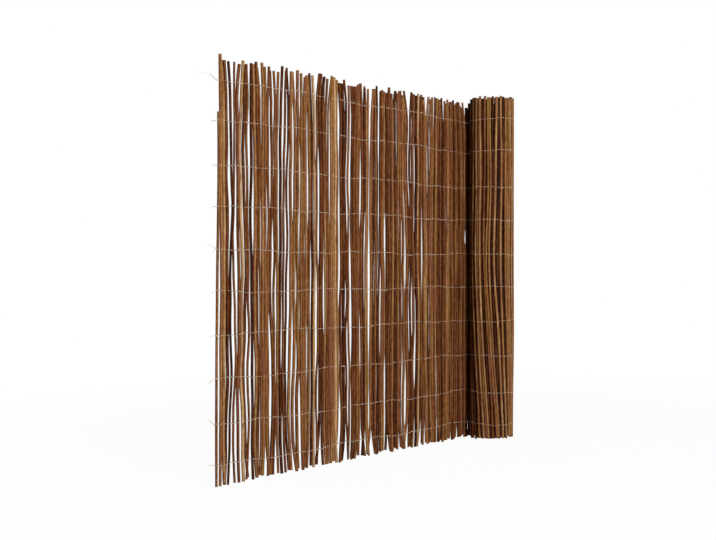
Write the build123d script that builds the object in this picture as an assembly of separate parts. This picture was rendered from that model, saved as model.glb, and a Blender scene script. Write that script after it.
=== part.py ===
from build123d import *
import math
import os
import random

# Willow screening mat, partly unrolled: a roll stands on its end and a straight panel leaves its back.
# +Z runs up the rods, the roll's axis is the Z axis, and the panel runs towards -X from the roll.
# The floor is z = 0, and all lengths are millimetres.

# Overall sizes
SCREEN_HEIGHT = 1000.0  # floor to the tip of the panel's longest rod
PANEL_WIDTH = 972.0  # free edge of the panel to the line where the mat starts to wind
ROLL_RADIUS = 71.0  # roll's axis to the outside of the mat where the panel leaves it

# Willow rods
ROD_MIN = 6.2  # thinnest rod
ROD_MAX = 9.2  # thickest rod
SEAM_BITE = 0.8  # how far two rods that are drawn together share wood
TIP_SPREAD = 18.0  # how far rod tips fall short of the screen's height
FOOT_SPREAD = 10.0  # how far rod feet stop above the floor
EDGE_ROD_TOP = SCREEN_HEIGHT * 0.866  # tip of the short rod at the panel's free edge
LAYOUT_SEED = 41

# Gaps between rods
GAP_MIN = 3.0
GAP_MAX = 4.6
GAP_LIMIT = 120  # most gaps that the wall is given
SPAN_LEAST = 4  # fewest wire rows from a gap's foot to its head
SPAN_MOST = 8
# Bands where rods stand apart: start and end from the free edge, share of seams that are open, and how wide
OPEN_BANDS = (
    (10.0, 34.0, 0.45, 0.90),
    (34.0, 118.0, 0.95, 1.15),
    (150.0, 182.0, 0.85, 1.00),
    (194.0, 264.0, 0.90, 1.00),
    (264.0, 305.0, 0.35, 0.90),
    (305.0, 350.0, 0.65, 0.95),
    (385.0, 430.0, 0.95, 1.20),
    (430.0, 512.0, 0.80, 0.90),
    (540.0, 574.0, 0.40, 0.90),
    (640.0, 655.0, 0.80, 0.90),
    (672.0, 706.0, 0.95, 1.20),
    (735.0, 783.0, 0.40, 0.95),
    (824.0, 833.0, 1.00, 0.90),
)

# Binding wire, in rows at these shares of the screen's height
WIRE = 1.0  # across the wire
WIRE_ROWS = (0.048, 0.142, 0.248, 0.352, 0.450, 0.546, 0.648, 0.744, 0.850, 0.942)
WIRE_LEVELS = [SCREEN_HEIGHT * share for share in WIRE_ROWS]
WIRE_TAIL = 20.0  # loose end past the panel's free edge
WIRE_BENDS = 5  # bends of a wire in each quarter turn round the roll
TIE_HEIGHT = 8.0  # stretch at a wire row where the rods stay drawn together

# Web that joins the panel's rods between the lowest and the highest wire row
WALL = 1.2

# Roll
TURN_GAP = 0.4  # clear space between two turns
ROLL_RISE = 8.0  # how far the outer turn has slipped up, so that it stands clear of the floor
ROLL_FOOT_SPREAD = 8.0  # how far its feet differ
ROLL_TIP_SPREAD = 8.0  # how far its tips differ
ROLL_ROD_MIN = 7.6  # thinnest rod of the outer turn
ROLL_DROP = 14.0  # how far the inner turns stop below the screen's height
INNER_ROD = 8.4  # rod spacing in the inner turns
INNER_VALLEY = 4.0  # thickness of the inner turns between two rods
JOIN_CLEAR = 0.2  # from the panel's last rod to the roll's first

TURN_PITCH = ROD_MAX + TURN_GAP
CENTRE_RADIUS = ROLL_RADIUS - ROD_MAX / 2  # centre line of the mat where the panel leaves the roll
QUARTER_STEP = TURN_PITCH / 4
LAST_QUARTER = int((CENTRE_RADIUS - TURN_PITCH / 2) / QUARTER_STEP)  # quarter turn nearest the roll's axis
FRONT_FACE = CENTRE_RADIUS - ROD_MAX / 2  # crest of the panel's thickest rods, front
BACK_FACE = CENTRE_RADIUS + ROD_MAX / 2


def rod(across, place, turn, foot, tip):
    """One straight willow rod from its foot to its tip, with flats on the mat's two faces."""
    half = across / 2
    side = across / 4
    right = [(side, -half), (half, 0), (side, half)]
    left = [(-side, half), (-half, 0), (-side, -half)]
    section = Polygon(*right, *left, align=None)
    return extrude(Location((place.X, place.Y, foot), (0, 0, turn)) * section, tip - foot)


def open_seams(distance):
    """Share of seams that stand open at a distance from the panel's free edge, and how wide they are."""
    for start, end, chance, width in OPEN_BANDS:
        if start <= distance <= end:
            return chance, width
    return 0.0, 1.0


def panel_layout():
    """Rods of the panel from its free edge: x, diameter, foot, tip, and the gap that follows each rod."""
    draw = random.Random(LAYOUT_SEED)
    rods = []
    reach = 0.0
    while reach < PANEL_WIDTH - ROD_MAX:
        across = draw.uniform(ROD_MIN, ROD_MAX)
        chance, width = open_seams(reach + across)
        is_open = draw.random() < chance and len(rods) > 0
        gap = draw.uniform(GAP_MIN, GAP_MAX) * width if is_open else -SEAM_BITE
        foot = draw.uniform(0, FOOT_SPREAD)
        tip = SCREEN_HEIGHT - draw.uniform(0, TIP_SPREAD)
        rods.append({"across": across, "foot": foot, "tip": tip, "gap": gap, "open": is_open})
        reach += across + gap
    rods[0]["tip"] = EDGE_ROD_TOP
    rods[0]["foot"] = 0.0
    rods[1]["tip"] = SCREEN_HEIGHT
    rods[1]["foot"] = 0.0
    rods[-1]["gap"] = 0.0
    rods[-1]["open"] = False

    # The open gaps take up what the rods leave of the panel's width
    open_sum = sum(r["gap"] for r in rods if r["open"])
    rest = PANEL_WIDTH - sum(r["across"] for r in rods) - sum(r["gap"] for r in rods if not r["open"])
    left = -PANEL_WIDTH
    for r in rods:
        r["x"] = left + r["across"] / 2
        if r["open"]:
            r["gap"] *= rest / open_sum
        left += r["across"] + r["gap"]
    return rods


def gap_windows(rods):
    """Gaps of the wall: the rod before each gap, its lower end and its upper end."""
    draw = random.Random(LAYOUT_SEED + 1)
    windows = []
    for index, r in enumerate(rods):
        row = 0
        while r["open"] and row < len(WIRE_LEVELS) - 1:
            last = min(row + draw.randint(SPAN_LEAST, SPAN_MOST), len(WIRE_LEVELS) - 1)
            windows.append((index, WIRE_LEVELS[row] + TIE_HEIGHT / 2, WIRE_LEVELS[last] - TIE_HEIGHT / 2))
            row = last + draw.randint(0, 1)
    return windows[:GAP_LIMIT]


def unrolled_panel():
    """The straight part of the mat: one wall with a ridge for each rod and gaps where rods stand apart."""
    rods = panel_layout()
    left = rods[1]["x"]
    right = rods[-1]["x"]
    low = WIRE_LEVELS[0]
    high = WIRE_LEVELS[-1]
    wall = Pos((left + right) / 2, (low + high) / 2) * Rectangle(right - left, high - low)
    openings = []
    for index, low, high in gap_windows(rods):
        start = rods[index]["x"]
        width = rods[index + 1]["x"] - start
        openings.append(Pos(start + width / 2, (low + high) / 2) * Rectangle(width, high - low))
    core = extrude(Plane.XZ.offset(-CENTRE_RADIUS) * (wall - openings), WALL / 2, both=True)
    ridges = [rod(r["across"], Vector(r["x"], CENTRE_RADIUS), 0, r["foot"], r["tip"]) for r in rods]
    return core + ridges


def quarter_arc(quarter):
    """Centre and radius of one quarter turn of the winding centre line."""
    centre = Vector(0, 0)
    for q in range(1, quarter + 1):
        centre += Vector(0, QUARTER_STEP).rotate(Axis.Z, -90 * q)
    return centre, CENTRE_RADIUS - quarter * QUARTER_STEP


def turn_length(quarters):
    """Length of the winding centre line over its first quarter turns."""
    return sum(quarter_arc(q)[1] * math.pi / 2 for q in range(quarters))


def wound(distance, offset=0.0):
    """Place at an offset outwards from the winding centre line, and the turn there."""
    quarter = 0
    while quarter < LAST_QUARTER and distance > turn_length(quarter + 1):
        quarter += 1
    centre, radius = quarter_arc(quarter)
    turn = -90 * quarter - math.degrees((distance - turn_length(quarter)) / radius)
    return centre + Vector(0, radius + offset).rotate(Axis.Z, turn), turn


def outer_turn():
    """Rods of the roll's outer turn, each with its own foot and tip."""
    draw = random.Random(LAYOUT_SEED + 2)
    rods = []
    distance = JOIN_CLEAR
    while distance < turn_length(4):
        across = draw.uniform(ROLL_ROD_MIN, ROD_MAX)
        place, turn = wound(distance + across / 2)
        foot = ROLL_RISE + draw.uniform(0, ROLL_FOOT_SPREAD)
        tip = SCREEN_HEIGHT + ROLL_RISE - draw.uniform(0, ROLL_TIP_SPREAD)
        rods.append(rod(across, place, turn, foot, tip))
        distance += across - SEAM_BITE
    return rods


def inner_turns():
    """The rest of the roll: one band with a ridge for each rod, wound on the rod at the core."""
    start = turn_length(4)
    count = int((turn_length(LAST_QUARTER + 1) - start) / INNER_ROD)
    crest = INNER_ROD / 2
    outside = []
    inside = []
    for k in range(count):
        middle = start + (k + 0.5) * INNER_ROD
        outside.append(wound(middle - INNER_ROD / 2, INNER_VALLEY - crest)[0])
        outside.append(wound(middle - INNER_ROD / 4, crest)[0])
        outside.append(wound(middle + INNER_ROD / 4, crest)[0])
        inside.append(wound(middle, -crest)[0])
    band = make_face(Polyline(*outside, *reversed(inside), close=True))
    core = rod(ROD_MAX, quarter_arc(LAST_QUARTER)[0], 0, 0, SCREEN_HEIGHT - ROLL_DROP)
    return extrude(band, SCREEN_HEIGHT - ROLL_DROP) + core


def standing_roll():
    """The wound part of the mat, turns and all, as one solid."""
    return inner_turns() + outer_turn()


def crease_angle(offset):
    """Angle short of a full turn at which an offset of the outer turn comes up to the panel's front wire."""
    radius = quarter_arc(3)[1] + offset
    return math.degrees(math.acos((FRONT_FACE - WIRE + QUARTER_STEP) / radius))


def front_wire():
    """Strand across the panel's front, from its loose end to the crease where the roll closes on it."""
    crest_radius = quarter_arc(3)[1] + ROD_MAX / 2
    start = -PANEL_WIDTH - WIRE_TAIL
    end = -crest_radius * math.sin(math.radians(crease_angle(ROD_MAX / 2))) - WIRE
    return Pos((start + end) / 2, FRONT_FACE - WIRE / 2, 0) * Box(end - start, WIRE, WIRE)


def back_wire():
    """Strand across the panel's back and on round the outside of the roll to the crease."""
    step = 90 / WIRE_BENDS
    widen = 1 / math.cos(math.radians(step / 2))
    start = -PANEL_WIDTH - WIRE_TAIL / 2
    inside = [Vector(start, BACK_FACE)]
    outside = [Vector(start, BACK_FACE + WIRE)]
    stop = 360 - crease_angle(ROD_MAX / 2 + 2 * WIRE)
    for bend in range(4 * WIRE_BENDS):
        centre, radius = quarter_arc(bend // WIRE_BENDS)
        angle = (bend + 0.5) * step
        if angle < stop:
            out = Vector(0, widen).rotate(Axis.Z, -angle)
            inside.append(centre + out * (radius + ROD_MAX / 2))
            outside.append(centre + out * (radius + ROD_MAX / 2 + WIRE))
    strip = make_face(Polyline(*inside, *reversed(outside), close=True))
    return Pos(0, 0, -WIRE / 2) * extrude(strip, WIRE)


def main():
    os.makedirs("parts", exist_ok=True)
    export_step(unrolled_panel(), "parts/unrolled_panel.step")
    export_step(standing_roll(), "parts/standing_roll.step")
    front = front_wire()
    back = back_wire()
    for row, height in enumerate(WIRE_LEVELS, start=1):
        export_step(Pos(0, 0, height) * front, f"parts/front_wire_{row:02d}.step")
        export_step(Pos(0, 0, height) * back, f"parts/back_wire_{row:02d}.step")


if __name__ == "__main__":
    main()
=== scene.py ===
"""Willow screening mat: rods, twined wire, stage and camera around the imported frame, in metres."""
from __future__ import annotations

import logging
import math
import random
from dataclasses import dataclass, field
from enum import Enum
from typing import Any, ClassVar, Optional, Sequence, Union

import bpy
from bpy.types import Material, NodeSocket, NodeTree, Object, Scene
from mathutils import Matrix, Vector


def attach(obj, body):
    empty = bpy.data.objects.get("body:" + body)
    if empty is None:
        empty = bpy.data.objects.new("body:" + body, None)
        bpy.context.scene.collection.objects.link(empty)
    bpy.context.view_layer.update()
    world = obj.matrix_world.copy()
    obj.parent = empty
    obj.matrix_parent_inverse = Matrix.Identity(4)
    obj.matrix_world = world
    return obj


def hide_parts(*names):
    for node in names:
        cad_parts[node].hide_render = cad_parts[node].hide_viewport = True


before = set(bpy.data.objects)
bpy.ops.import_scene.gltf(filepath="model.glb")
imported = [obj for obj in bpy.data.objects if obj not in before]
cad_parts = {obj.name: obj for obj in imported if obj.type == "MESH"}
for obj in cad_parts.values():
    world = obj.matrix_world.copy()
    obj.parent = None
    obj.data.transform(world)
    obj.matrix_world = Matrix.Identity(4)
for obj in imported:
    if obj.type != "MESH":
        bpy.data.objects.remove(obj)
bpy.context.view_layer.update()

log = logging.getLogger("willow_mat")

MM = 0.001
BODY = "root"
# Quarters of a full turn
TURN = 4
WHITE = (1.0, 1.0, 1.0, 1.0)

Span = tuple[float, float]
Triple = tuple[float, float, float]
# Sine waves: the size of each, and the radians that it runs through in a metre
Waves = tuple[tuple[float, float], ...]
# A rod's centre at a wire row, the direction to the mat's back face there, and the rod's radius
Station = tuple[Vector, Vector, float]


# Numbers

def clamp(value: float, low: float, high: float) -> float:
    """The value, kept between low and high."""
    return min(max(value, low), high)


def ease(value: float, low: float, high: float) -> float:
    """Smooth step from 0 at low to 1 at high."""
    t = clamp((value - low) / (high - low), 0.0, 1.0)
    return t * t * (3.0 - 2.0 * t)


def ripple(place: float, waves: Waves, starts: Sequence[float]) -> float:
    """Sum of sine waves at a place in metres, with the radians at which each wave starts."""
    return sum(size * math.sin(place * pace + start) for (size, pace), start in zip(waves, starts))


# Node graphs

class Value:
    """One node socket, on which Python arithmetic adds Math nodes."""

    def __init__(self, graph: Graph, socket: NodeSocket) -> None:
        """Keeps the socket and the graph that new nodes go into."""
        self.graph = graph
        self.socket = socket

    def _math(self, operation: str, first: Any, second: Any) -> Value:
        """Adds one Math node on two operands."""
        return self.graph.add("ShaderNodeMath", {"operation": operation}, {0: first, 1: second})

    def __add__(self, other: Any) -> Value:
        """Sum, with a number on either side."""
        return self._math("ADD", self, other)

    def __sub__(self, other: Any) -> Value:
        """Difference."""
        return self._math("SUBTRACT", self, other)

    def __rsub__(self, other: Any) -> Value:
        """Difference with a number on the left."""
        return self._math("SUBTRACT", other, self)

    def __mul__(self, other: Any) -> Value:
        """Product, with a number on either side."""
        return self._math("MULTIPLY", self, other)

    __radd__ = __add__
    __rmul__ = __mul__

    def __gt__(self, other: Any) -> Value:
        """1 where this is greater, and 0 elsewhere."""
        return self._math("GREATER_THAN", self, other)

    def __abs__(self) -> Value:
        """Size without its sign."""
        return self._math("ABSOLUTE", self, 0.0)

    def most(self, other: Any) -> Value:
        """The greater of two values."""
        return self._math("MAXIMUM", self, other)

    def span(self, low: float, high: float) -> Value:
        """Smooth step from 0 at low to 1 at high."""
        inputs = {"Value": self, "From Min": low, "From Max": high}
        return self.graph.add("ShaderNodeMapRange", {"interpolation_type": "SMOOTHSTEP"}, inputs)

    def scaled(self, by: Sequence[float]) -> Value:
        """This vector multiplied axis by axis."""
        return self.graph.add("ShaderNodeVectorMath", {"operation": "MULTIPLY"}, {0: self, 1: tuple(by)})

    def moved(self, by: Value) -> Value:
        """This vector with another added to it."""
        return self.graph.add("ShaderNodeVectorMath", {"operation": "ADD"}, {0: self, 1: by})


@dataclass(frozen=True)
class Grain:
    """One layer of noise: its cells in a metre on each axis, and the span of it that a mask takes."""

    cells: Triple
    detail: float = 2.0
    rough: float = 0.5
    weight: float = 1.0
    span: Span = (0.0, 1.0)


class Graph:
    """A shader or geometry node tree that is written as calls and expressions."""

    def __init__(self, tree: NodeTree) -> None:
        """Keeps the tree and empties it."""
        self.tree = tree
        tree.nodes.clear()

    def add(
        self,
        kind: str,
        settings: Optional[dict[str, Any]] = None,
        inputs: Optional[dict[Union[str, int], Any]] = None,
        out: Union[str, int] = 0,
    ) -> Optional[Value]:
        """Adds one node.

        Args:
            kind: the node's type.
            settings: the node's own properties, set first; stops holds a ramp's places and colours.
            inputs: values or links, by socket name, identifier or number.
            out: the output to return, by identifier, name or number.

        Returns:
            The chosen output, or None for a node without one.
        """
        node = self.tree.nodes.new(kind)
        for key, value in (settings or {}).items():
            if key == "stops":
                self._set_stops(node.color_ramp, value)
            else:
                setattr(node, key, value)
        for key, value in (inputs or {}).items():
            socket = self._socket(node.inputs, key)
            if isinstance(value, Value):
                self.tree.links.new(value.socket, socket)
            else:
                socket.default_value = value
        return Value(self, self._socket(node.outputs, out)) if len(node.outputs) else None

    def beside(self, value: Value, out: Union[str, int]) -> Value:
        """Another output of the node that a value comes from."""
        return Value(self, self._socket(value.socket.node.outputs, out))

    def place(self) -> Value:
        """Place on the object, in metres."""
        return self.add("ShaderNodeTexCoord", None, None, "Object")

    def attribute(self, name: str) -> Value:
        """Number that a mesh carries at each point."""
        return self.add("ShaderNodeAttribute", {"attribute_name": name}, None, "Fac")

    def mix(self, factor: Any, first: Union[Value, Triple], second: Union[Value, Triple]) -> Value:
        """Colour between two colours.

        Args:
            factor: share of the second colour.
            first: the first colour.
            second: the second colour.

        Returns:
            The colour.
        """
        a, b = (colour if isinstance(colour, Value) else (*colour, 1.0) for colour in (first, second))
        inputs = {"Factor_Float": factor, "A_Color": a, "B_Color": b}
        return self.add("ShaderNodeMix", {"data_type": "RGBA"}, inputs, "Result_Color")

    def noise(self, place: Value, detail: float = 2.0, rough: float = 0.5) -> Value:
        """Noise from 0 to 1 at a place, one cell for each unit."""
        inputs = {"Vector": place, "Scale": 1.0, "Detail": detail, "Roughness": rough}
        return self.add("ShaderNodeTexNoise", None, inputs)

    def grain(self, place: Value, layer: Grain, shift: Optional[Value] = None) -> Value:
        """Noise of one layer, moved by a shift if there is one."""
        spot = place.scaled(layer.cells)
        return self.noise(spot if shift is None else spot.moved(shift), layer.detail, layer.rough)

    def mask(self, place: Value, layer: Grain, shift: Optional[Value] = None) -> Value:
        """Patches where a layer is high, from 0 to its weight."""
        return self.grain(place, layer, shift).span(*layer.span) * layer.weight

    @staticmethod
    def _socket(sockets: Any, key: Union[str, int]) -> NodeSocket:
        """Finds a socket.

        Args:
            sockets: a node's inputs or outputs.
            key: the socket's identifier, name or number.

        Returns:
            The socket.
        """
        if isinstance(key, int):
            return sockets[key]
        for socket in sockets:
            if socket.identifier == key:
                return socket
        return sockets[key]

    @staticmethod
    def _set_stops(ramp: bpy.types.ColorRamp, stops: Sequence[tuple[float, Triple]]) -> None:
        """Fills a colour ramp.

        Args:
            ramp: the ramp.
            stops: its places and colours.
        """
        while len(ramp.elements) < len(stops):
            ramp.elements.new(0.5)
        for element, (place, colour) in zip(ramp.elements, stops):
            element.position = place
            element.color = (*colour, 1.0)


# Finishes

@dataclass(frozen=True)
class Finish:
    """A material that is built from nodes."""

    name: str
    bump_strength: float = 0.0
    bump_depth: float = 0.0

    def material(self) -> Material:
        """Builds the material.

        Returns:
            The material.
        """
        mat = bpy.data.materials.new(self.name)
        mat.use_nodes = True
        g = Graph(mat.node_tree)
        g.add("ShaderNodeOutputMaterial", None, {"Surface": self.surface(g)})
        return mat

    def surface(self, g: Graph) -> Value:
        """Adds the finish's own nodes to a graph and returns its shader."""
        raise NotImplementedError

    def _bumped(self, g: Graph, relief: Value, inputs: dict[str, Any]) -> Value:
        """Shader with a bump.

        Args:
            g: the material's graph.
            relief: height of the bump.
            inputs: the shader's other inputs.

        Returns:
            The shader.
        """
        shape = {"Strength": self.bump_strength, "Distance": self.bump_depth, "Height": relief}
        bump = g.add("ShaderNodeBump", None, shape)
        return g.add("ShaderNodeBsdfPrincipled", None, {**inputs, "Normal": bump})


@dataclass(frozen=True)
class BarkFinish(Finish):
    """Unpeeled willow bark: one shade for each rod, with streaks, specks and bud scars along it, and painted
    shade on its flanks.
    """

    name: str = "willow_bark"
    bump_strength: float = 0.45
    bump_depth: float = 0.8 * MM
    shades: tuple[tuple[float, Triple], ...] = (
        (0.00, (0.026, 0.004, 0.001)),
        (0.22, (0.093, 0.023, 0.003)),
        (0.45, (0.180, 0.063, 0.018)),
        (0.68, (0.300, 0.142, 0.050)),
        (0.86, (0.430, 0.250, 0.108)),
        (1.00, (0.540, 0.355, 0.190)),
    )
    scar: Triple = (0.018, 0.009, 0.006)
    speck: Triple = (0.50, 0.37, 0.23)
    red_bark: Triple = (0.160, 0.050, 0.032)
    olive_bark: Triple = (0.230, 0.122, 0.024)
    shine: float = 0.05
    # Painted shade on the flanks, where a rod faces its neighbours and shade falls between the rods
    flank_painted_shade: float = 0.15
    flank_shade_span: Span = (0.50, 0.98)
    # How far a rod's seed moves the noise across and along it
    shift: Span = (7.0, 29.0)
    # Layers that make the shade lighter and darker
    streaks: Grain = Grain((430.0, 430.0, 7.0), 4.0, 0.62, 0.85)
    drift: Grain = Grain((22.0, 22.0, 6.0), weight=0.52)
    mottle: Grain = Grain((260.0, 260.0, 75.0), 3.0, 0.6, 0.70)
    # Patches of other colours, and the shades over which two of them come in
    blush: Grain = Grain((75.0, 75.0, 5.0), weight=0.55, span=(0.46, 0.66))
    blush_shades: Span = (0.14, 0.42)
    gold: Grain = Grain((55.0, 55.0, 3.5), weight=0.50, span=(0.50, 0.66))
    gold_shades: Span = (0.26, 0.50)
    dots: Grain = Grain((620.0, 620.0, 900.0), 1.0, weight=0.36, span=(0.64, 0.74))
    scars: Grain = Grain((95.0, 95.0, 13.0), weight=0.75, span=(0.05, 0.17))
    # Roughness of plain bark, and what streaks and scars add
    rough: Triple = (0.52, 0.20, 0.20)
    # Heights that streaks, fine grain and scars add to the bump
    relief: Triple = (0.60, 0.25, 0.90)
    fine: Grain = Grain((1500.0, 1500.0, 150.0))

    def surface(self, g: Graph) -> Value:
        """Adds the bark's nodes.

        Args:
            g: the material's graph.

        Returns:
            The shader.
        """
        place = g.place()
        seed = g.attribute("rod_seed")
        across, along = self.shift
        shift = g.add("ShaderNodeCombineXYZ", None, {"X": seed * across, "Y": 0.0, "Z": seed * along})
        # Painted shade: the bark is darker on its flanks that face the neighbouring rods
        shade = g.attribute("rod_tone") - g.attribute("flank").span(*self.flank_shade_span) * self.flank_painted_shade
        layers = (self.streaks, self.drift, self.mottle)
        noises = [g.grain(place, layer, shift) for layer in layers]
        for layer, noise in zip(layers, noises):
            shade = shade + (noise - 0.5) * layer.weight
        colour = g.add("ShaderNodeValToRGB", {"stops": self.shades}, {"Fac": shade}, "Color")
        blush = g.mask(place, self.blush, shift) * shade.span(*self.blush_shades)
        colour = g.mix(blush, colour, self.red_bark)
        gold = g.mask(place, self.gold, shift) * shade.span(*self.gold_shades)
        colour = g.mix(gold, colour, self.olive_bark)
        colour = g.mix(g.mask(place, self.dots, shift), colour, self.speck)
        spot = place.scaled(self.scars.cells).moved(shift)
        away = g.add("ShaderNodeTexVoronoi", {"feature": "F1"}, {"Vector": spot, "Scale": 1.0}, "Distance")
        scar = 1.0 - away.span(*self.scars.span)
        colour = g.mix(scar * self.scars.weight, colour, self.scar)
        streak = noises[0]
        plain, by_streak, by_scar = self.rough
        rough = plain + streak * by_streak + scar * by_scar
        of_streak, of_fine, of_scar = self.relief
        relief = streak * of_streak + g.grain(place, self.fine, shift) * of_fine + scar * of_scar
        inputs = {"Base Color": colour, "Roughness": rough, "Specular IOR Level": self.shine}
        return self._bumped(g, relief, inputs)


@dataclass(frozen=True)
class CutEndFinish(Finish):
    """Sawn end of a rod: pale wood, weathered in patches."""

    name: str = "willow_cut_end"
    bump_strength: float = 0.4
    bump_depth: float = 0.5 * MM
    pale: Triple = (0.46, 0.33, 0.18)
    grey: Triple = (0.20, 0.12, 0.065)
    patches: Grain = Grain((130.0, 130.0, 130.0), 3.0, span=(0.35, 0.70))
    pores: Grain = Grain((1800.0, 1800.0, 1800.0), weight=0.5, span=(0.55, 0.80))
    rough: float = 0.8

    def surface(self, g: Graph) -> Value:
        """Adds the cut end's nodes.

        Args:
            g: the material's graph.

        Returns:
            The shader.
        """
        place = g.place()
        colour = g.mix(g.mask(place, self.patches), self.pale, self.grey)
        colour = g.mix(g.mask(place, self.pores), colour, self.grey)
        inputs = {"Base Color": colour, "Roughness": self.rough}
        return self._bumped(g, g.grain(place, self.pores), inputs)


@dataclass(frozen=True)
class WireFinish(Finish):
    """Galvanised wire, dull with brighter worn stretches."""

    name: str = "galvanised_wire"
    bump_strength: float = 0.2
    bump_depth: float = 0.2 * MM
    bright: Triple = (0.68, 0.61, 0.51)
    dull: Triple = (0.42, 0.36, 0.29)
    wear: Grain = Grain((60.0, 60.0, 60.0), 3.0, span=(0.35, 0.65))
    grit: Grain = Grain((2200.0, 2200.0, 2200.0))
    metal: float = 0.75
    rough: float = 0.36
    rough_wear: float = 0.22

    def surface(self, g: Graph) -> Value:
        """Adds the wire's nodes.

        Args:
            g: the material's graph.

        Returns:
            The shader.
        """
        place = g.place()
        colour = g.mix(g.mask(place, self.wear), self.bright, self.dull)
        rough = self.rough + g.grain(place, self.wear) * self.rough_wear
        inputs = {"Base Color": colour, "Metallic": self.metal, "Roughness": rough}
        return self._bumped(g, g.grain(place, self.grit), inputs)


@dataclass(frozen=True)
class FloorFinish(Finish):
    """Pale studio floor that keeps the object's shadow and runs into a white background."""

    name: str = "studio_floor"
    pale: float = 0.90
    glow: float = 0.955
    near: float = 0.7
    far: float = 2.2

    def surface(self, g: Graph) -> Value:
        """Adds the floor's nodes.

        Args:
            g: the material's graph.

        Returns:
            The shader.
        """
        seen = background_rays(g)
        matt = g.add("ShaderNodeBsdfDiffuse", None, {"Color": (self.pale, self.pale, self.pale, 1.0)})
        light = g.add("ShaderNodeEmission", None, {"Color": WHITE, "Strength": 1.0})
        away = g.add("ShaderNodeVectorMath", {"operation": "LENGTH"}, {0: g.place()}, "Value")
        share = self.glow + away.span(self.near, self.far) * (1.0 - self.glow)
        return g.add("ShaderNodeMixShader", None, {0: seen * share, 1: matt, 2: light})


def background_rays(g: Graph) -> Value:
    """Mask of the rays that see the background: from the camera, and by reflection or through glass.

    Args:
        g: the graph that gets the nodes.

    Returns:
        1 for such rays, and 0 for others.
    """
    camera = g.add("ShaderNodeLightPath", None, None, "Is Camera Ray")
    glossy = g.beside(camera, "Is Glossy Ray")
    through = g.beside(camera, "Is Transmission Ray")
    return camera.most(glossy).most(through)


# Layout of the mat

@dataclass(frozen=True)
class Shades:
    """Bark shades of some rods: the usual one, their spread and their limits."""

    usual: float
    spread: float
    low: float
    high: float

    def draw(self, source: random.Random, change: float = 0.0) -> float:
        """Random shade, with the usual one moved by a change."""
        return clamp(source.gauss(self.usual + change, self.spread), self.low, self.high)


@dataclass
class Rod:
    """One willow rod: its place on the mat and how it differs from its neighbours."""

    along: float
    radius: float
    foot: float
    tip: float
    seed: float
    tone: float = 0.0
    number: int = 0
    gap: float = 0.0
    is_open: bool = False
    windows: list[Span] = field(default_factory=list)
    lean: float = 0.0
    tip_lean: float = 0.0
    foot_lean: float = 0.0
    proud: float = 0.0
    bow: tuple[float, float, float, float] = (0.0, 0.0, 0.0, 0.0)
    taper: float = 0.0

    def swell(self, z: float, height: float) -> float:
        """Radius at a height: rods are thicker at their butt end."""
        return self.radius * (1.0 + self.taper * (z / height - 0.5))


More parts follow.
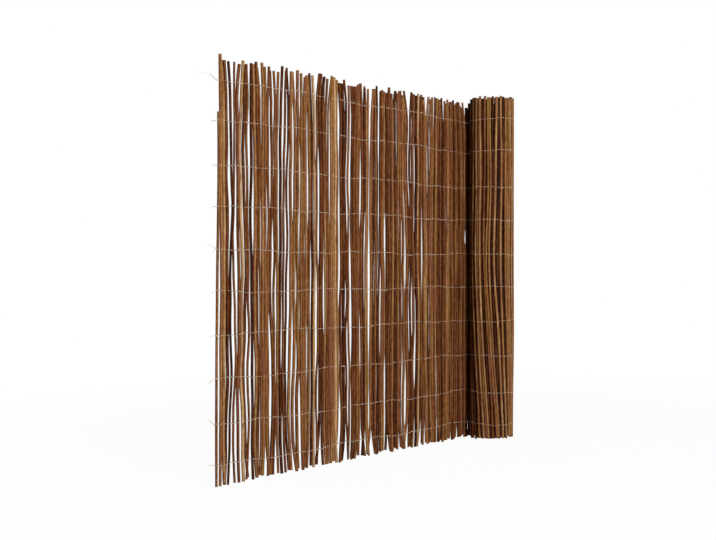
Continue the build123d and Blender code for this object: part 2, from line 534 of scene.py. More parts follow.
@dataclass
class MatLayout:
    """Sizes of the mat, as the solids have them, and the places and looks of its rods."""

    height: float = 1.0
    panel_width: float = 0.972
    roll_radius: float = 0.071
    rod_min: float = 6.2 * MM
    rod_max: float = 9.2 * MM
    bite: float = 0.8 * MM
    tip_spread: float = 18.0 * MM
    foot_spread: float = 10.0 * MM
    edge_rod_top: float = 0.866
    seed: int = 41
    gap_min: float = 3.0 * MM
    gap_max: float = 4.6 * MM
    gap_limit: int = 120
    span_least: int = 4
    span_most: int = 8
    turn_gap: float = 0.4 * MM
    roll_rise: float = 8.0 * MM
    roll_foot_spread: float = 8.0 * MM
    roll_tip_spread: float = 8.0 * MM
    roll_rod_min: float = 7.6 * MM
    roll_drop: float = 14.0 * MM
    inner_rod: float = 8.4 * MM
    join_clear: float = 0.2 * MM
    rows: tuple[float, ...] = (0.048, 0.142, 0.248, 0.352, 0.450, 0.546, 0.648, 0.744, 0.850, 0.942)
    # Stretches from the free edge, in mm, with the share of seams that stand open and how wide they are
    open_bands: tuple[tuple[float, float, float, float], ...] = (
        (10, 34, 0.45, 0.90), (34, 118, 0.95, 1.15), (150, 182, 0.85, 1.00),
        (194, 264, 0.90, 1.00), (264, 305, 0.35, 0.90), (305, 350, 0.65, 0.95),
        (385, 430, 0.95, 1.20), (430, 512, 0.80, 0.90), (540, 574, 0.40, 0.90),
        (640, 655, 0.80, 0.90), (672, 706, 0.95, 1.20), (735, 783, 0.40, 0.95),
        (824, 833, 1.00, 0.90),
    )
    # Stretches of the panel from its free edge, in mm, with the usual bark shade there
    tone_bands: tuple[Triple, ...] = (
        (0, 7, 0.32), (7, 36, 0.56), (36, 106, 0.25), (106, 152, 0.50),
        (152, 262, 0.27), (262, 312, 0.48), (312, 378, 0.38), (378, 428, 0.54),
        (428, 495, 0.30), (495, 520, 0.54), (520, 554, 0.26), (554, 578, 0.54),
        (578, 714, 0.27), (714, 758, 0.48), (758, 835, 0.28), (835, 857, 0.42),
        (857, 975, 0.34),
    )
    tone_lift: float = 0.03
    tone_limits: Span = (0.08, 0.95)
    # Spread of the panel's shades, and by how much and over which stretch it grows less
    tone_spread: float = 0.21
    spread_drop: float = 0.08
    spread_reach: Span = (0.68, 0.80)
    edge_tone: float = 0.50
    # How all rods differ
    slack: float = 0.4 * MM
    girth: Span = (0.95, 1.01)
    lean: float = 1.5 * MM
    proud: float = 1.0 * MM
    proud_most: float = 1.7 * MM
    taper: Span = (0.04, 0.16)
    # How the panel's tips and feet lean in groups of rods, and how much within a group
    tip_lean: float = 5.4 * MM
    foot_lean: float = 6.2 * MM
    lean_groups: tuple[int, ...] = (1, 1, 1, 2, 2)
    lean_apart: float = 0.8 * MM
    # Places from the free edge where a tip lies across its neighbour
    crossings: tuple[float, ...] = (0.058, 0.368, 0.520)
    crossing_lean: float = 9.0 * MM
    crossing_proud: float = -2.5 * MM
    # Outer turn of the roll, where some rods have sunk in
    roll_girth: Span = (0.76, 0.90)
    roll_proud: float = 0.8 * MM
    roll_shades: Shades = Shades(0.63, 0.13, 0.01, 0.95)
    sunk_share: float = 0.37
    sunk_depth: Span = (2.6 * MM, 4.4 * MM)
    # Near-black tones of the sunk rods: painted shade in the recess where they lie
    sunk_painted_shades: Shades = Shades(0.02, 0.04, 0.01, 0.95)
    # Angles wound between which the roll's rods are painted darker towards the crease beside the panel, a
    # painted shade on the roll's side that turns from the light
    crease_angles: Span = (4.85, 5.30)
    crease_painted_shade: float = 0.42
    # How much lower the roll's feet are beside the crease, and the angles wound between which they drop
    crease_drop: float = 5.0 * MM
    drop_angles: Span = (4.30, 5.10)
    # Inner turns, whose feet rise outside the core, and the second turn's tips below the outer turn's
    inner_girth: Span = (0.82, 1.0)
    inner_tips: Span = (-6.0 * MM, 4.0 * MM)
    inner_feet: Span = (0.0, 1.5 * MM)
    second_tips: Span = (4.0 * MM, 10.0 * MM)
    core_radius: float = 8.0 * MM
    foot_slope: float = 0.26
    inner_shades: Shades = Shades(0.22, 0.12, 0.05, 0.60)

    def __post_init__(self) -> None:
        """Works out what follows from the sizes."""
        self.turn_pitch = self.rod_max + self.turn_gap
        self.centre_radius = self.roll_radius - self.rod_max / 2
        self.quarter_step = self.turn_pitch / TURN
        self.last_quarter = int((self.centre_radius - self.turn_pitch / 2) / self.quarter_step)
        self.levels = [self.height * row for row in self.rows]

    def _open_seams(self, reach: float) -> Span:
        """Open seams near a place on the panel.

        Args:
            reach: the place's distance from the free edge.

        Returns:
            The share of seams that stand open there, and how wide they are.
        """
        for start, end, chance, width in self.open_bands:
            if start * MM <= reach <= end * MM:
                return chance, width
        return 0.0, 1.0

    def _tone_at(self, reach: float, draw: random.Random) -> float:
        """Bark shade for a rod of the panel.

        Args:
            reach: its distance from the free edge.
            draw: source of its difference.

        Returns:
            The shade, from 0 to 1.
        """
        usual = next(tone for start, end, tone in self.tone_bands if start * MM <= reach < end * MM)
        spread = self.tone_spread - self.spread_drop * ease(reach, *self.spread_reach)
        return clamp(draw.gauss(usual + self.tone_lift, spread), *self.tone_limits)

    def panel_rods(self) -> list[Rod]:
        """Rods of the panel from its free edge.

        Returns:
            The rods, with along as their distance from the roll's axis towards -X, negative.
        """
        draw = random.Random(self.seed)
        rows = []
        reach = 0.0
        while reach < self.panel_width - self.rod_max:
            across = draw.uniform(self.rod_min, self.rod_max)
            chance, width = self._open_seams(reach + across)
            is_open = draw.random() < chance and len(rows) > 0
            gap = draw.uniform(self.gap_min, self.gap_max) * width if is_open else -self.bite
            foot = draw.uniform(0, self.foot_spread)
            tip = self.height - draw.uniform(0, self.tip_spread)
            rows.append([across, gap, is_open, foot, tip])
            reach += across + gap
        rows[0][3], rows[0][4] = 0.0, self.edge_rod_top
        rows[1][3], rows[1][4] = 0.0, self.height
        rows[-1][1], rows[-1][2] = 0.0, False
        open_sum = sum(r[1] for r in rows if r[2])
        rest = self.panel_width - sum(r[0] for r in rows) - sum(r[1] for r in rows if not r[2])
        looks = random.Random(self.seed + 10)
        rods = []
        left = -self.panel_width
        for number, (across, gap, is_open, foot, tip) in enumerate(rows):
            gap *= rest / open_sum if is_open else 1.0
            rod = self._rod(left + across / 2, across, foot, tip, looks)
            rod.tone = self._tone_at(left + self.panel_width + across / 2, looks)
            rod.number, rod.gap, rod.is_open = number, gap, is_open
            rods.append(rod)
            left += across + gap
        rods[0].tone = self.edge_tone
        self._open_windows(rods)
        self._lean_ends(rods, looks)
        return rods

    def _rod(self, along: float, across: float, foot: float, tip: float, looks: random.Random) -> Rod:
        """One rod with its own bends and leaning ends.

        Args:
            along: its place on the mat.
            across: its thickness over the solids' corners.
            foot: height of its lower end.
            tip: height of its upper end.
            looks: source of its differences.

        Returns:
            The rod.
        """
        radius = (across - self.slack) / 2 * looks.uniform(*self.girth)
        rod = Rod(along, radius, foot, tip, looks.random())
        rod.lean = looks.gauss(0.0, self.lean)
        rod.proud = clamp(looks.gauss(0.0, self.proud), -self.proud_most, self.proud_most)
        rod.bow = tuple(looks.uniform(0, math.tau) for _ in range(4))
        rod.taper = looks.choice((-1, 1)) * looks.uniform(*self.taper)
        return rod

    def _lean_ends(self, rods: Sequence[Rod], looks: random.Random) -> None:
        """Makes tips and feet lean in small groups, so that notches stand between the groups.

        Args:
            rods: the rods from the free edge, of which the first two stay upright.
            looks: source of their differences.
        """
        for end, spread in (("tip_lean", self.tip_lean), ("foot_lean", self.foot_lean)):
            first = 2
            while first < len(rods):
                group = looks.choice(self.lean_groups)
                lean = looks.gauss(0.0, spread)
                for rod in rods[first:first + group]:
                    setattr(rod, end, lean + looks.gauss(0.0, self.lean_apart))
                first += group
        for rod in rods:
            reach = rod.along + self.panel_width
            if any(abs(reach - cross) < self.rod_max / 2 for cross in self.crossings):
                rod.tip_lean = self.crossing_lean
                rod.proud = self.crossing_proud

    def _open_windows(self, rods: Sequence[Rod]) -> None:
        """Gives each open seam the stretches where daylight shows, as the solids have them.

        Args:
            rods: the panel's rods, from the free edge.
        """
        draw = random.Random(self.seed + 1)
        count = 0
        for rod in rods:
            row = 0
            while rod.is_open and row < len(self.levels) - 1:
                last = min(row + draw.randint(self.span_least, self.span_most), len(self.levels) - 1)
                if count < self.gap_limit:
                    rod.windows.append((self.levels[row], self.levels[last]))
                count += 1
                row = last + draw.randint(0, 1)

    def outer_turn(self) -> list[Rod]:
        """Rods of the roll's outer turn.

        Returns:
            The rods, with along as their distance past the start of winding.
        """
        draw = random.Random(self.seed + 2)
        looks = random.Random(self.seed + 12)
        rods = []
        sunk = False
        distance = self.join_clear
        while distance < self.turn_length(TURN):
            across = draw.uniform(self.roll_rod_min, self.rod_max)
            foot = self.roll_rise + draw.uniform(0, self.roll_foot_spread)
            tip = self.height + self.roll_rise - draw.uniform(0, self.roll_tip_spread)
            angle = self.wound(distance)[2]
            foot -= self.crease_drop * ease(angle, *self.drop_angles)
            rod = self._rod(distance + across / 2, across, foot, tip, looks)
            sunk = looks.random() < self.sunk_share and not sunk
            rod.radius *= looks.uniform(*self.roll_girth)
            if sunk:
                rod.proud = -looks.uniform(*self.sunk_depth)
                # Painted shade: a sunk rod gets a near-black tone
                rod.tone = self.sunk_painted_shades.draw(looks)
            else:
                rod.proud = looks.uniform(-self.roll_proud, self.roll_proud)
                # Painted shade: rods grow darker towards the crease beside the panel
                rod.tone = self.roll_shades.draw(looks, -self.crease_painted_shade * ease(angle, *self.crease_angles))
            rods.append(rod)
            distance += across - self.bite
        return rods

    def inner_turns(self) -> list[Rod]:
        """Rods of the roll inside its outer turn.

        Returns:
            The rods, with along as their distance past the start of winding.
        """
        looks = random.Random(self.seed + 13)
        start = self.turn_length(TURN)
        count = int((self.turn_length(self.last_quarter + 1) - start) / self.inner_rod)
        rods = []
        for k in range(count):
            across = self.inner_rod * looks.uniform(*self.inner_girth) + self.bite
            tip = self.height - self.roll_drop + looks.uniform(*self.inner_tips)
            along = start + (k + 0.5) * self.inner_rod
            if along < self.turn_length(2 * TURN):
                tip = self.height + self.roll_rise - looks.uniform(*self.second_tips)
            outside = max(self.wound(along)[0].length - self.core_radius, 0.0)
            foot = outside * self.foot_slope + looks.uniform(*self.inner_feet)
            rod = self._rod(along, across, foot, tip, looks)
            rod.tone = self.inner_shades.draw(looks)
            rods.append(rod)
        return rods

    def quarter_arc(self, quarter: int) -> tuple[Vector, float]:
        """One quarter turn of the winding centre line.

        Args:
            quarter: its number from the start of winding.

        Returns:
            Its centre and radius.
        """
        centre = Vector((0.0, 0.0))
        for q in range(1, quarter + 1):
            angle = -math.pi / 2 * q
            centre += Vector((-math.sin(angle), math.cos(angle))) * self.quarter_step
        return centre, self.centre_radius - quarter * self.quarter_step

    def turn_length(self, quarters: int) -> float:
        """Length of the winding centre line over its first quarter turns."""
        return sum(self.quarter_arc(q)[1] * math.pi / 2 for q in range(quarters))

    def wound(self, distance: float) -> tuple[Vector, Vector, float]:
        """Place on the winding centre line.

        Args:
            distance: length of mat past the start of winding.

        Returns:
            The place, the direction outwards, and the angle wound, in radians.
        """
        quarter = 0
        while quarter < self.last_quarter and distance > self.turn_length(quarter + 1):
            quarter += 1
        centre, radius = self.quarter_arc(quarter)
        angle = math.pi / 2 * quarter + (distance - self.turn_length(quarter)) / radius
        outward = Vector((math.sin(angle), math.cos(angle)))
        return centre + outward * radius, outward, angle


# Sweeps made by geometry nodes

class TreeInput(Enum):
    """Kinds of input that a geometry tree takes."""

    GEOMETRY = "NodeSocketGeometry"
    WHOLE = "NodeSocketInt"
    NUMBER = "NodeSocketFloat"
    MATERIAL = "NodeSocketMaterial"

    @classmethod
    def of(cls, value: Any) -> TreeInput:
        """The kind that takes a value."""
        return {int: cls.WHOLE, float: cls.NUMBER, Material: cls.MATERIAL}[type(value)]


@dataclass
class Sweep:
    """Carries centre lines, as edges with point attributes, through a geometry tree to a plain mesh."""

    ROD_NUMBERS: ClassVar[tuple[str, ...]] = ("thickness", "rod_tone", "rod_seed", "along_x", "along_y")
    # Noise cells between two rods' seeds, and in a metre of a rod, for its uneven thickness
    SEED_STEP: ClassVar[float] = 91.0
    UNEVEN_CELLS: ClassVar[float] = 22.0
    RIDGES: ClassVar[Grain] = Grain((380.0, 380.0, 9.0))
    # Faces whose normals are more upright than this are sawn ends
    SAWN: ClassVar[float] = 0.7
    name: str
    # What the tree's inputs are set to
    values: dict[str, Any]

    def __post_init__(self) -> None:
        """Starts the geometry tree, with a named input for each value."""
        tree = bpy.data.node_groups.new(self.name, "GeometryNodeTree")
        self.graph = Graph(tree)
        kinds = {name: TreeInput.of(value) for name, value in self.values.items()}
        self.identifiers = {}
        for name, kind in {"Geometry": TreeInput.GEOMETRY, **kinds}.items():
            item = tree.interface.new_socket(name, in_out="INPUT", socket_type=kind.value)
            self.identifiers[name] = item.identifier
        tree.interface.new_socket("Geometry", in_out="OUTPUT", socket_type=TreeInput.GEOMETRY.value)
        first = self.graph.add("NodeGroupInput")
        self.given = {name: self.graph.beside(first, key) for name, key in self.identifiers.items()}

    def _tube(self, line: Value, radius: Any, scale: Any) -> Value:
        """Round solid along a line.

        Args:
            line: the centre line.
            radius: radius of its round.
            scale: what the radius is multiplied by along the line.

        Returns:
            The solid, with closed ends.
        """
        circle = {"Resolution": self.given["Sides"], "Radius": radius}
        profile = self.graph.add("GeometryNodeCurvePrimitiveCircle", None, circle)
        tube = {"Curve": line, "Profile Curve": profile, "Scale": scale, "Fill Caps": True}
        return self.graph.add("GeometryNodeCurveToMesh", None, tube)

    def _dressed(self, solid: Value, smooth: Any, finish: str) -> Value:
        """Shading, real geometry and a material, which end a tree.

        Args:
            solid: the geometry.
            smooth: where it is shaded smooth.
            finish: the input that holds its material.

        Returns:
            The geometry.
        """
        g = self.graph
        solid = g.add("GeometryNodeSetShadeSmooth", None, {"Geometry": solid, "Shade Smooth": smooth})
        solid = g.add("GeometryNodeRealizeInstances", None, {"Geometry": solid})
        return g.add("GeometryNodeSetMaterial", None, {"Geometry": solid, "Material": self.given[finish]})

    def build_rods(self) -> None:
        """Fills the tree: centre lines become rods with uneven bark and sawn ends."""
        g, given = self.graph, self.given
        carried = {
            name: g.add("GeometryNodeInputNamedAttribute", {"data_type": "FLOAT"}, {"Name": name})
            for name in self.ROD_NUMBERS
        }
        line = g.add("GeometryNodeMeshToCurve", None, {"Mesh": given["Geometry"]})
        place = g.add("GeometryNodeInputPosition")
        height = g.add("ShaderNodeSeparateXYZ", None, {"Vector": place}, "Z")
        spot = g.add(
            "ShaderNodeCombineXYZ",
            None,
            {"X": carried["rod_seed"] * self.SEED_STEP, "Y": given["Seed"], "Z": height * self.UNEVEN_CELLS},
        )
        uneven = (g.noise(spot) - 0.5) * given["Unevenness"] + 1.0
        solid = self._tube(line, 1.0, carried["thickness"] * uneven)
        normal = g.add("GeometryNodeInputNormal")
        sawn = abs(g.add("ShaderNodeSeparateXYZ", None, {"Vector": normal}, "Z")) > self.SAWN
        ridges = (g.grain(place, self.RIDGES) - 0.5) * given["Ridge Depth"]
        push = g.add("ShaderNodeVectorMath", {"operation": "SCALE"}, {0: normal, "Scale": ridges})
        solid = g.add("GeometryNodeSetPosition", None, {"Geometry": solid, "Offset": push})
        # flank: how much the surface faces the neighbouring rods, which the bark darkens as painted shade
        sideways = {"X": carried["along_x"], "Y": carried["along_y"], "Z": 0.0}
        across = g.add("ShaderNodeCombineXYZ", None, sideways)
        facing = g.add("ShaderNodeVectorMath", {"operation": "DOT_PRODUCT"}, {0: normal, 1: across}, "Value")
        solid = g.add(
            "GeometryNodeStoreNamedAttribute",
            {"data_type": "FLOAT", "domain": "POINT"},
            {"Geometry": solid, "Name": "flank", "Value": abs(facing)},
        )
        solid = self._dressed(solid, 1.0 - sawn, "Bark")
        ends = {"Geometry": solid, "Selection": sawn, "Material": given["Cut End"]}
        solid = g.add("GeometryNodeSetMaterial", None, ends)
        g.add("NodeGroupOutput", None, {0: solid})

    def build_wire(self) -> None:
        """Fills the tree: a strand's points become smooth round wire."""
        g, given = self.graph, self.given
        line = g.add("GeometryNodeMeshToCurve", None, {"Mesh": given["Geometry"]})
        line = g.add("GeometryNodeCurveSplineType", {"spline_type": "CATMULL_ROM"}, {"Curve": line})
        smooth = {"Geometry": line, "Resolution": given["Steps"]}
        line = g.add("GeometryNodeSetSplineResolution", None, smooth)
        solid = self._dressed(self._tube(line, given["Radius"], 1.0), True, "Wire")
        g.add("NodeGroupOutput", None, {0: solid})

    def make(self, lines: Sequence[Sequence[Vector]], attributes: dict[str, Sequence[float]]) -> Object:
        """Sweeps centre lines into one plain mesh.

        Args:
            lines: points of each centre line.
            attributes: numbers for every point, in the lines' order.

        Returns:
            The finished object, with no modifier.
        """
        points: list[Vector] = []
        edges: list[tuple[int, int]] = []
        for line in lines:
            first = len(points)
            points.extend(line)
            edges.extend((first + k, first + k + 1) for k in range(len(line) - 1))
        carrier = bpy.data.meshes.new(self.name + "_lines")
        carrier.from_pydata(points, edges, [])
        for name, numbers in attributes.items():
            layer = carrier.attributes.new(name, "FLOAT", "POINT")
            layer.data.foreach_set("value", list(numbers))
        obj = bpy.data.objects.new(self.name, carrier)
        bpy.context.scene.collection.objects.link(obj)
        modifier = obj.modifiers.new("sweep", "NODES")
        modifier.node_group = self.graph.tree
        for name, value in self.values.items():
            modifier[self.identifiers[name]] = value
        graph = bpy.context.evaluated_depsgraph_get()
        solid = bpy.data.meshes.new_from_object(obj.evaluated_get(graph))
        solid.name = self.name
        obj.modifiers.remove(modifier)
        obj.data = solid
        bpy.data.meshes.remove(carrier)
        return obj


# Sub-assemblies

@dataclass
class RodSet:
    """Rods of one part of the mat, which follow their own centre lines."""

    layout: MatLayout
    bark: Material
    cut: Material
    steps: int = 40
    sides: int = 10
    unevenness: float = 0.16
    ridge_depth: float = 0.5 * MM
    noise_seed: float = 3.0

    def centre(self, rod: Rod, z: float) -> tuple[Vector, Vector]:
        """Centre of a rod at a height, and the direction to the mat's back face there."""
        raise NotImplementedError

    def _swept(self, name: str, rods: Sequence[Rod], steps: int, sides: int) -> Object:
        """Sweeps some of the rods into one piece.

        Args:
            name: the piece's name.
            rods: the rods.
            steps: points along each rod.
            sides: faces round each rod.

        Returns:
            The piece.
        """
        lines = []
        numbers: dict[str, list[float]] = {key: [] for key in Sweep.ROD_NUMBERS}
        for rod in rods:
            heights = [rod.foot + (rod.tip - rod.foot) * k / (steps - 1) for k in range(steps)]
            places = [self.centre(rod, z) for z in heights]
            lines.append([place for place, _ in places])
            numbers["thickness"] += [rod.swell(z, self.layout.height) for z in heights]
            numbers["rod_tone"] += [rod.tone] * steps
            numbers["rod_seed"] += [rod.seed] * steps
            numbers["along_x"] += [back.y for _, back in places]
            numbers["along_y"] += [-back.x for _, back in places]
        values = {
            "Sides": sides,
            "Unevenness": self.unevenness,
            "Ridge Depth": self.ridge_depth,
            "Seed": self.noise_seed,
            "Bark": self.bark,
            "Cut End": self.cut,
        }
        sweep = Sweep(name, values)
        sweep.build_rods()
        return sweep.make(lines, numbers)


@dataclass
class UnrolledPanel(RodSet):
    """The straight part of the mat."""

    # Rods on each side that a closed seam draws in, and the height over which a seam opens
    reach: int = 4
    ramp: float = 0.130
    # How far open seams stand open, less over one stretch from the free edge, and how this wanders
    daylight: float = 0.60
    daylight_drop: float = 0.18
    drop_start: Span = (0.46, 0.54)
    drop_end: Span = (0.60, 0.66)
    wander: Waves = ((0.62, 14.0), (0.34, 33.0))
    daylight_limits: Span = (-0.1, 1.1)
    # Bends of each rod along the mat and out of it, and a sway that neighbours share
    bow_along: Waves = ((0.70 * MM, 7.0), (0.35 * MM, 17.0))
    bow_out: Waves = ((0.70 * MM, 8.0), (0.35 * MM, 19.0))
    sway: Waves = ((1.8 * MM, 5.2),)
    sway_turn: float = 21.0
    edge_lean: float = 3.2 * MM
    edge_bend: Span = (0.45, 0.78)
    end_stretch: float = 0.095
    end_curve: float = 1.4
    # Last rods before the roll, which leave a notch beside it at the top and a slit between two wire rows
    crease: Span = (-0.110, -0.0325)
    notch: float = 14.0 * MM
    slit: float = 8.0 * MM
    slit_rows: tuple[int, int] = (5, 6)
    # Near-black tone of the rods right beside the roll: painted shadow of the roll
    painted_shadow_tone: float = 0.05

    def __post_init__(self) -> None:
        """Lays the rods out."""
        self.rods = self.layout.panel_rods()
        for rod in self.rods:
            if self._aside(rod) > 0.0:
                rod.tip_lean = -self.notch * self._aside(rod)
            # Rods right beside the roll are painted near-black, a painted shadow of the roll
            if rod.along > self.crease[1]:
                rod.tone = self.painted_shadow_tone
                rod.tip_lean = 0.0

    def _aside(self, rod: Rod) -> float:
        """How much a rod stands aside from the roll, from 0 to 1."""
        start, end = self.crease
        return (rod.along - start) / (end - start) if start < rod.along < end else 0.0

    def _daylight(self, rod: Rod, z: float) -> float:
        """How far the seam after a rod stands open.

        Args:
            rod: the rod.
            z: the height.

        Returns:
            The share, about 0 to 1.
        """
        levels = self.layout.levels
        z = clamp(z, levels[0], levels[-1])
        bounds = [levels[0], *(end for window in rod.windows for end in window), levels[-1]]
        most = 1.0
        for low, high in zip(bounds[::2], bounds[1::2]):
            if high > low:
                away = max(low - z, z - high, 0.0)
                most = min(most, ease(away, 0.0, self.ramp))
        reach = rod.along + self.layout.panel_width
        drop = ease(reach, *self.drop_start) * (1.0 - ease(reach, *self.drop_end))
        usual = self.daylight - self.daylight_drop * drop
        return most * clamp(usual + ripple(z, self.wander, rod.bow), *self.daylight_limits)

    def _drawn(self, index: int, z: float) -> float:
        """How far a rod is drawn along the mat by the seams near it that are closed.

        Args:
            index: the rod's number from the free edge.
            z: the height.

        Returns:
            The distance, towards the roll.
        """
        total = 0.0
        for k in range(self.reach):
            share = 1.0 - k / self.reach
            for seam, way in ((index + k, 1.0), (index - 1 - k, -1.0)):
                if 0 <= seam < len(self.rods) and self.rods[seam].is_open:
                    rod = self.rods[seam]
                    closed = 1.0 - self._daylight(rod, z)
                    total += way * share * closed * (rod.gap + self.layout.slack) * 0.5
        return total

    def _near_end(self, away: float) -> float:
        """Share of an end's lean at a distance from the end."""
        return max(0.0, 1.0 - away / self.end_stretch) ** self.end_curve

    def centre(self, rod: Rod, z: float) -> tuple[Vector, Vector]:
        """Centre of a rod at a height.

        Args:
            rod: the rod.
            z: the height.

        Returns:
            The point, and the direction to the mat's back face there.
        """
        lay = self.layout
        x = rod.along + self._drawn(rod.number, z) + rod.lean * (z / lay.height - 0.5)
        x += ripple(z, self.bow_along, rod.bow)
        x += ripple(z, self.sway, [rod.along * self.sway_turn])
        low, high = (lay.levels[row] for row in self.slit_rows)
        between = clamp((z - low) / (high - low), 0.0, 1.0)
        x -= self.slit * self._aside(rod) * math.sin(math.pi * between) ** 2
        x += rod.tip_lean * self._near_end(lay.height - z)
        x += rod.foot_lean * self._near_end(z)
        if rod.number == 0:
            x -= self.edge_lean * (1.0 - ease(z, *self.edge_bend))
        y = lay.centre_radius + rod.proud + ripple(z, self.bow_out, rod.bow[2:])
        return Vector((x, y, z)), Vector((0.0, 1.0, 0.0))

    def build(self) -> Object:
        """Makes the panel's rods.

        Returns:
            The finished piece.
        """
        obj = self._swept("panel_rods", self.rods, self.steps, self.sides)
        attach(obj, BODY)
        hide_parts("unrolled_panel")
        return obj


@dataclass
class StandingRoll(RodSet):
    """The wound part of the mat."""

    steps: int = 44
    unevenness: float = 0.14
    noise_seed: float = 8.0
    inner_steps: int = 9
    inner_sides: int = 7
    # Slip at the foot of the front, and the degrees wound and heights over which it comes and goes
    twist: float = 30.0 * MM
    slip_start: Span = (90.0, 250.0)
    slip_end: Span = (300.0, 358.0)
    slip_heights: Span = (-0.15, 0.52)
    back_slip: float = 0.16
    back_slip_heights: Span = (0.30, 0.80)
    narrowing: float = 0.045
    narrow_height: float = 0.38
    bow_along: Waves = ((1.30 * MM, 8.0), (0.52 * MM, 19.0))
    bow_out: Waves = ((0.390 * MM, 9.0), (0.195 * MM, 21.0))

    def __post_init__(self) -> None:
        """Lays the rods out."""
        self.outer = self.layout.outer_turn()
        self.inner = self.layout.inner_turns()

    def _slip(self, angle: float, z: float) -> float:
        """How far a rod has slipped along the winding, most at the foot of the front.

        Args:
            angle: the angle wound, in radians.
            z: the height.

        Returns:
            The distance, negative towards the start of winding.
        """
        degrees = math.degrees(angle)
        share = ease(degrees, *self.slip_start) * (1.0 - ease(degrees, *self.slip_end))
        wave = self.back_slip * math.sin(math.pi * ease(z, *self.back_slip_heights)) * share
        return -self.twist * (share * (1.0 - ease(z, *self.slip_heights)) - wave)

    def _pull(self, angle: float, z: float) -> float:
        """Share by which the roll is narrower near its foot on the side away from the panel."""
        facing = 0.5 - 0.5 * math.cos(angle)
        return 1.0 - self.narrowing * facing * (1.0 - ease(z, 0.0, self.narrow_height))

    def centre(self, rod: Rod, z: float) -> tuple[Vector, Vector]:
        """Centre of a rod at a height.

        Args:
            rod: the rod.
            z: the height.

        Returns:
            The point, and the direction to the mat's back face there, which is out of the roll.
        """
        _, _, angle = self.layout.wound(rod.along)
        along = rod.along + self._slip(angle, z) + ripple(z, self.bow_along, rod.bow)
        place, outward, _ = self.layout.wound(max(along, 0.0))
        proud = min(rod.proud, self.layout.roll_proud) + ripple(z, self.bow_out, rod.bow[2:])
        flat = (place + outward * proud) * self._pull(angle, z)
        return Vector((flat.x, flat.y, z)), Vector((outward.x, outward.y, 0.0))

    def build(self) -> list[Object]:
        """Makes the roll's rods.

        Returns:
            The outer turn and the inner turns.
        """
        outer = self._swept("roll_rods", self.outer, self.steps, self.sides)
        inner = self._swept("roll_core_rods", self.inner, self.inner_steps, self.inner_sides)
        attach(outer, BODY)
        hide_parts("standing_roll")
        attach(inner, BODY)
        return [outer, inner]


class Side(Enum):
    """Which face of the mat a strand lies on at a rod."""

    FRONT = -1.0
    BACK = 1.0

    def other(self) -> Side:
        """The opposite face."""
        return Side.BACK if self is Side.FRONT else Side.FRONT


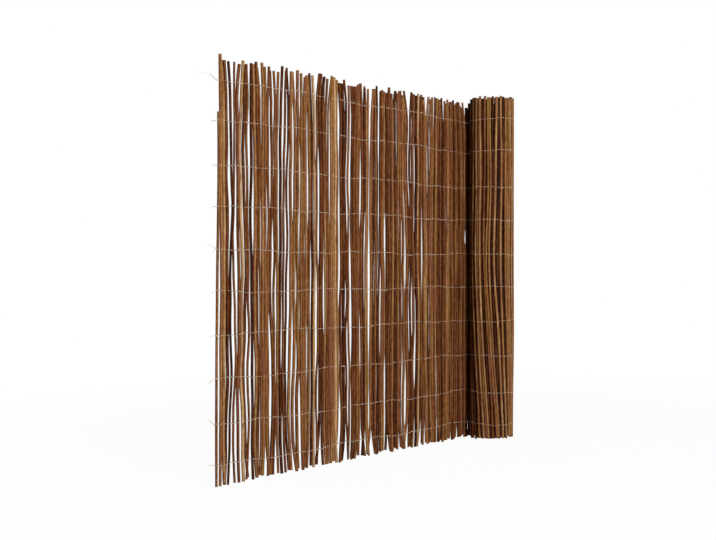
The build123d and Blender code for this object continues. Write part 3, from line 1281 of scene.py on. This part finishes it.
@dataclass
class BindingWire:
    """Ten rows of two strands, twined round every rod, with loose ends at the free edge."""

    panel: UnrolledPanel
    roll: StandingRoll
    radius: float = 0.5 * MM
    sides: int = 6
    steps: int = 4
    wander: Waves = ((2.60 * MM, 15.0), (1.43 * MM, 41.0), (0.78 * MM, 117.0))
    # Share of its radius by which a strand's centre stands off a rod
    off: float = 0.8
    # Degrees wound past which the rows go on unseen
    crease_angle: float = 340.0
    # Loose ends: their length, rise and curl, where their points lie, and how much they sway
    tail_length: Span = (10.0 * MM, 24.0 * MM)
    tail_rise: float = 0.6
    tail_curl: float = 0.5
    tail_shares: Triple = (0.35, 0.7, 1.0)
    tail_sway: float = 0.25
    top_tail: Triple = (46.0 * MM, 0.60, -0.32)
    # Step from the edge rod to the first point of a loose end, outwards and towards the other face
    edge_step: Span = (4.0 * MM, 2.0 * MM)
    # One loose end is bent back over the edge rod: the steps to its outermost point, its bend and its tip
    loop_row: int = 3
    loop: tuple[Triple, ...] = (
        (-5.0 * MM, -2.0 * MM, 3.0 * MM),
        (-2.0 * MM, -5.0 * MM, 1.0 * MM),
        (9.0 * MM, -6.0 * MM, -14.0 * MM),
    )

    def _stations(self, row: int, phase: float) -> list[Station]:
        """Rods that a row passes, as it wanders up and down a little.

        Args:
            row: the row's number from the floor.
            phase: where the row's waves start.

        Returns:
            The rods' stations.
        """
        lay = self.panel.layout
        wound = [rod for rod in self.roll.outer if math.degrees(lay.wound(rod.along)[2]) < self.crease_angle]
        found = []
        for part, rods in ((self.panel, self.panel.rods), (self.roll, wound)):
            for rod in rods:
                z = lay.levels[row] + ripple(rod.along, self.wander, (phase, 2.0 * phase, 3.0 * phase))
                found.append((*part.centre(rod, z), rod.swell(z, lay.height)))
        return found

    def _strand(self, stations: Sequence[Station], side: Side) -> list[Vector]:
        """Points of one strand that changes face at every rod.

        Args:
            stations: the rods that the row passes.
            side: the face at the first rod.

        Returns:
            The points.
        """
        points = []
        for k, (place, back, thick) in enumerate(stations):
            if k > 0:
                before, _, thin = stations[k - 1]
                along = (place - before).normalized()
                middle = (before + along * thin + place - along * thick) * 0.5
                middle.z += self.radius * side.value
                points.append(middle)
            points.append(place + back * (side.value * (thick + self.radius * self.off)))
            side = side.other()
        return points

    def _tail(self, row: int, start: Vector, side: Side, draw: random.Random) -> list[Vector]:
        """Loose end of a strand, from its tip to the edge rod.

        Args:
            row: the row's number from the floor.
            start: the strand's first point on the edge rod.
            side: the face it lies on there.
            draw: source of its differences.

        Returns:
            The points.
        """
        length = draw.uniform(*self.tail_length)
        rise = draw.uniform(-self.tail_rise, self.tail_rise)
        curl = draw.uniform(-self.tail_curl, self.tail_curl)
        if row == len(self.panel.layout.levels) - 1 and side is Side.FRONT:
            length, rise, curl = self.top_tail
        outwards, inwards = self.edge_step
        edge = start + Vector((-outwards, -side.value * inwards, 0.0))
        if row == self.loop_row and side is Side.FRONT:
            out, turn, end = (edge + Vector(step) for step in self.loop)
            return [end, (end + turn) * 0.5, turn, out, edge]
        points = []
        for share in self.tail_shares:
            lift = length * (rise * share + curl * share * share)
            sway = -side.value * length * self.tail_sway * share * share
            points.append(edge + Vector((-length * share, sway, lift)))
        return points[::-1] + [edge]

    def build(self, finish: Material) -> list[Object]:
        """Makes one piece for each row.

        Args:
            finish: the wire's material.

        Returns:
            The pieces, from the lowest row up.
        """
        draw = random.Random(self.panel.layout.seed + 20)
        pieces = []
        for row in range(len(self.panel.layout.levels)):
            stations = self._stations(row, draw.uniform(0, math.tau))
            lines = []
            for side in Side:
                strand = self._strand(stations, side)
                lines.append(self._tail(row, strand[0], side, draw) + strand)
            values = {"Sides": self.sides, "Steps": self.steps, "Radius": self.radius, "Wire": finish}
            sweep = Sweep(f"wire_row_{row + 1:02d}", values)
            sweep.build_wire()
            obj = sweep.make(lines, {})
            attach(obj, BODY)
            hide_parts(f"front_wire_{row + 1:02d}", f"back_wire_{row + 1:02d}")
            pieces.append(obj)
        return pieces


# Stage

@dataclass
class Studio:
    """Floor, light and camera of the photograph."""

    eye: Triple = (-2.410, -1.748, 0.5)
    heading: Triple = (0.725, 0.689, 0.0)
    lens: float = 50.0
    sensor: float = 36.0
    floor_size: float = 40.0
    ambient: float = 0.25
    lit_place: Triple = (-0.35, 0.0, 0.5)
    # Name, place, power in watts and width of each lamp
    lamps: tuple[tuple[str, Triple, float, float], ...] = (
        ("key_light", (-1.7, -3.8, 2.0), 140.0, 0.7),
        ("fill_light", (-3.6, -1.0, 1.4), 8.0, 1.6),
    )

    def build(self) -> None:
        """Sets up the stage."""
        scene = bpy.context.scene
        scene.view_settings.view_transform = "Standard"
        self._world(scene)
        self._floor()
        for lamp in self.lamps:
            self._lamp(*lamp)
        self._camera(scene)

    def _world(self, scene: Scene) -> None:
        """White background that gives even light.

        Args:
            scene: the scene that gets it.
        """
        world = bpy.data.worlds.new("studio")
        world.use_nodes = True
        scene.world = world
        g = Graph(world.node_tree)
        strength = background_rays(g) * (1.0 - self.ambient) + self.ambient
        light = g.add("ShaderNodeBackground", None, {"Color": WHITE, "Strength": strength})
        g.add("ShaderNodeOutputWorld", None, {"Surface": light})

    def _floor(self) -> None:
        """Plain floor under the mat."""
        half = self.floor_size / 2
        mesh = bpy.data.meshes.new("floor")
        corners = [(-half, -half, 0.0), (half, -half, 0.0), (half, half, 0.0), (-half, half, 0.0)]
        mesh.from_pydata(corners, [], [(0, 1, 2, 3)])
        floor = bpy.data.objects.new("floor", mesh)
        floor.data.materials.append(FloorFinish().material())
        bpy.context.scene.collection.objects.link(floor)

    def _lamp(self, name: str, place: Triple, power: float, size: float) -> None:
        """One soft lamp that faces the middle of the mat.

        Args:
            name: the lamp's name.
            place: where it stands.
            power: its power in watts.
            size: its width.
        """
        data = bpy.data.lights.new(name, "AREA")
        data.energy = power
        data.size = size
        lamp = bpy.data.objects.new(name, data)
        lamp.location = place
        aim = Vector(self.lit_place) - Vector(place)
        lamp.rotation_euler = aim.to_track_quat("-Z", "Y").to_euler()
        bpy.context.scene.collection.objects.link(lamp)

    def _camera(self, scene: Scene) -> None:
        """Camera at the photograph's place.

        Args:
            scene: the scene that gets it.
        """
        data = bpy.data.cameras.new("camera")
        data.lens = self.lens
        data.sensor_width = self.sensor
        camera = bpy.data.objects.new("camera", data)
        camera.location = self.eye
        camera.rotation_euler = Vector(self.heading).to_track_quat("-Z", "Y").to_euler()
        scene.collection.objects.link(camera)
        scene.camera = camera


def report(obj: Object) -> None:
    """Logs one finished piece."""
    log.info("%s: %d faces", obj.name, len(obj.data.polygons))


def main() -> None:
    """Builds the mat, then the stage."""
    logging.basicConfig(level=logging.INFO, format="%(name)s %(message)s")
    layout = MatLayout()
    bark = BarkFinish().material()
    cut = CutEndFinish().material()
    panel = UnrolledPanel(layout, bark, cut)
    report(panel.build())
    roll = StandingRoll(layout, bark, cut)
    for piece in roll.build():
        report(piece)
    for piece in BindingWire(panel, roll).build(WireFinish().material()):
        report(piece)
    Studio().build()


if __name__ == "__main__":
    main()
